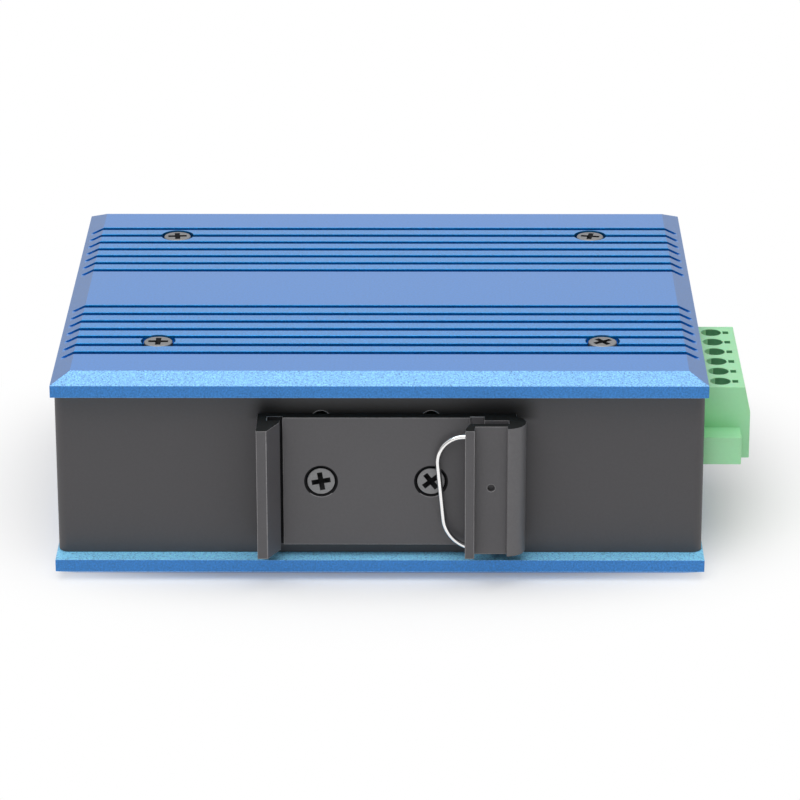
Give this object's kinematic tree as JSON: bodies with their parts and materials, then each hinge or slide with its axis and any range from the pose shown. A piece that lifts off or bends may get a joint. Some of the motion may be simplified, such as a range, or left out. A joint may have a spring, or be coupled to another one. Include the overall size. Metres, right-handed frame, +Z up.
{
  "type": "din rail ethernet switch",
  "caption": "Flat network switch: two finned covers round a folded grey housing, with a rail clip, a screw terminal plug and a row of network sockets.",
  "frame": {"origin": "middle of the lower cover, on the face that the switch lies on", "axes": "+Z up through the covers, +X towards the terminal plug, +Y towards the port wall, so the rail clip faces -Y"},
  "size_m": [0.1224, 0.099, 0.038],
  "materials": {
    "blue_cover": "bead-blasted, blue anodised",
    "grey_housing": "matt dark grey coat",
    "grey_clip": "satin dark grey coat",
    "dark_screw": "dark plated",
    "spring_wire": "polished spring wire",
    "plated_steel": "zinc plated",
    "green_plastic": "moulded",
    "tinned_contact": "tinned",
    "brass_insert": "turned",
    "green_board": "solder resist",
    "jack_shield": "tin plate",
    "black_plastic": "moulded",
    "gold_contact": "gold plated",
    "clear_plastic": "clear moulded",
    "black_component": "moulded",
    "can_metal": "satin"
  },
  "bodies": {
    "switch": {"clip_clinch_nuts": "plated_steel", "clip_screws": "dark_screw", "converter_chip": "black_component", "crystal": "can_metal", "din_clip_bracket": "grey_clip", "fault_relay": "black_component", "front_panel": "grey_housing", "front_panel_nuts": "plated_steel", "front_panel_screws": "dark_screw", "header_flange_inserts": "brass_insert", "header_pins": "tinned_contact", "housing_frame": "grey_housing", "input_capacitors": "can_metal", "input_fuse": "black_component", "jack_contacts": "gold_contact", "jack_insert_1": "black_plastic", "jack_insert_2": "black_plastic", "jack_insert_3": "black_plastic", "jack_insert_4": "black_plastic", "jack_lenses": "clear_plastic", "jack_shield_1": "jack_shield", "jack_shield_2": "jack_shield", "jack_shield_3": "jack_shield", "jack_shield_4": "jack_shield", "lower_cover_screws": "dark_screw", "lower_finned_cover": "blue_cover", "lower_pillars": "plated_steel", "main_circuit_board": "green_board", "plug_contacts": "tinned_contact", "plug_flange_screws": "plated_steel", "port_transformers": "black_component", "power_inductor": "black_component", "status_leds": "clear_plastic", "status_light_pipes": "clear_plastic", "surge_suppressors": "black_component", "switch_chip": "black_component", "terminal_header": "green_plastic", "terminal_plug": "green_plastic", "upper_cover_screws": "dark_screw", "upper_finned_cover": "blue_cover", "upper_pillars": "plated_steel"},
    "wire_spring": {"clip_wire_spring": "spring_wire"},
    "screw_1": {"clamp_screw_1": "plated_steel"},
    "cage_1": {"clamp_cage_1": "plated_steel"},
    "screw_2": {"clamp_screw_2": "plated_steel"},
    "cage_2": {"clamp_cage_2": "plated_steel"},
    "screw_3": {"clamp_screw_3": "plated_steel"},
    "cage_3": {"clamp_cage_3": "plated_steel"},
    "screw_4": {"clamp_screw_4": "plated_steel"},
    "cage_4": {"clamp_cage_4": "plated_steel"},
    "screw_5": {"clamp_screw_5": "plated_steel"},
    "cage_5": {"clamp_cage_5": "plated_steel"},
    "screw_6": {"clamp_screw_6": "plated_steel"},
    "cage_6": {"clamp_cage_6": "plated_steel"}
  },
  "joints": [
    {"name": "wire_spring_press", "type": "slide", "parent": "switch", "child": "wire_spring", "axis": [1, 0, 0], "range_m": [0, 0.0075], "stiffness_N_per_m": 2000, "deforming": ["clip_wire_spring"]},
    {"name": "clamp_screw_1_turn", "type": "hinge", "parent": "switch", "child": "screw_1", "pos_m": [0.0602, -0.0298, 0.0282], "axis": [0, 0, -1], "range_deg": [0, 1800]},
    {"name": "clamp_cage_1_rise", "type": "slide", "parent": "switch", "child": "cage_1", "axis": [0, 0, 1], "range_m": [0, 0.0025]},
    {"name": "clamp_screw_2_turn", "type": "hinge", "parent": "switch", "child": "screw_2", "pos_m": [0.0602, -0.02472, 0.0282], "axis": [0, 0, -1], "range_deg": [0, 1800]},
    {"name": "clamp_cage_2_rise", "type": "slide", "parent": "switch", "child": "cage_2", "axis": [0, 0, 1], "range_m": [0, 0.0025]},
    {"name": "clamp_screw_3_turn", "type": "hinge", "parent": "switch", "child": "screw_3", "pos_m": [0.0602, -0.01964, 0.0282], "axis": [0, 0, -1], "range_deg": [0, 1800]},
    {"name": "clamp_cage_3_rise", "type": "slide", "parent": "switch", "child": "cage_3", "axis": [0, 0, 1], "range_m": [0, 0.0025]},
    {"name": "clamp_screw_4_turn", "type": "hinge", "parent": "switch", "child": "screw_4", "pos_m": [0.0602, -0.01456, 0.0282], "axis": [0, 0, -1], "range_deg": [0, 1800]},
    {"name": "clamp_cage_4_rise", "type": "slide", "parent": "switch", "child": "cage_4", "axis": [0, 0, 1], "range_m": [0, 0.0025]},
    {"name": "clamp_screw_5_turn", "type": "hinge", "parent": "switch", "child": "screw_5", "pos_m": [0.0602, -0.00948, 0.0282], "axis": [0, 0, -1], "range_deg": [0, 1800]},
    {"name": "clamp_cage_5_rise", "type": "slide", "parent": "switch", "child": "cage_5", "axis": [0, 0, 1], "range_m": [0, 0.0025]},
    {"name": "clamp_screw_6_turn", "type": "hinge", "parent": "switch", "child": "screw_6", "pos_m": [0.0602, -0.0044, 0.0282], "axis": [0, 0, -1], "range_deg": [0, 1800]},
    {"name": "clamp_cage_6_rise", "type": "slide", "parent": "switch", "child": "cage_6", "axis": [0, 0, 1], "range_m": [0, 0.0025]}
  ],
  "couplings": [
    {"joint": "clamp_screw_1_turn", "follows": "clamp_cage_1_rise", "rad_per_m": 12566},
    {"joint": "clamp_screw_2_turn", "follows": "clamp_cage_2_rise", "rad_per_m": 12566},
    {"joint": "clamp_screw_3_turn", "follows": "clamp_cage_3_rise", "rad_per_m": 12566},
    {"joint": "clamp_screw_4_turn", "follows": "clamp_cage_4_rise", "rad_per_m": 12566},
    {"joint": "clamp_screw_5_turn", "follows": "clamp_cage_5_rise", "rad_per_m": 12566},
    {"joint": "clamp_screw_6_turn", "follows": "clamp_cage_6_rise", "rad_per_m": 12566}
  ]
}
